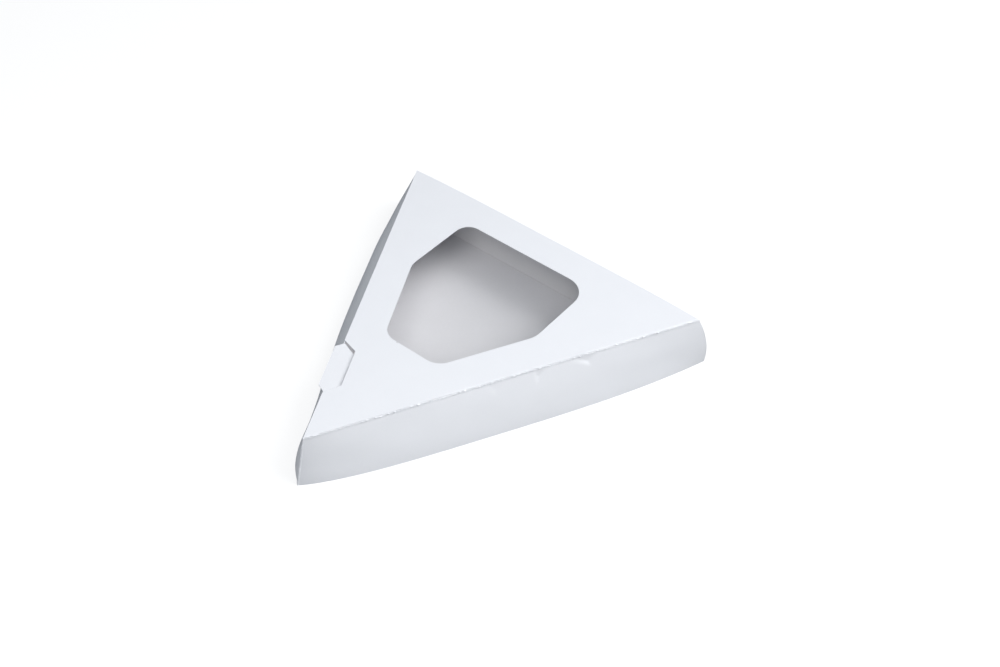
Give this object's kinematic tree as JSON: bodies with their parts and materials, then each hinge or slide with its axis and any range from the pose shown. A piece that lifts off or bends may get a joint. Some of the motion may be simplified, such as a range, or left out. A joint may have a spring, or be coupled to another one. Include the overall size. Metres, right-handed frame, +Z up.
{
  "type": "pizza slice clamshell",
  "caption": "Folded wedge-shaped board case for one slice, with a hinged lid, a six-sided window and a tuck-in lock tongue.",
  "frame": {"origin": "middle of the case's footprint, on the underside of the floor panel", "axes": "+Z up, +Y from the tip of the wedge to its crust end, +X towards the hinge side of the lid"},
  "size_m": [0.252, 0.241, 0.0335],
  "materials": {
    "tray_board": "matt white uncoated board",
    "lid_board": "matt white uncoated board"
  },
  "bodies": {
    "tray": {"tray": "tray_board"},
    "lid": {"lid": "lid_board"}
  },
  "joints": [
    {"name": "lid_hinge", "type": "hinge", "parent": "tray", "child": "lid", "pos_m": [0.00019, -0.11153, 0.03325], "axis": [0.4627, 0.8865, 0], "range_deg": [0, 180]}
  ]
}
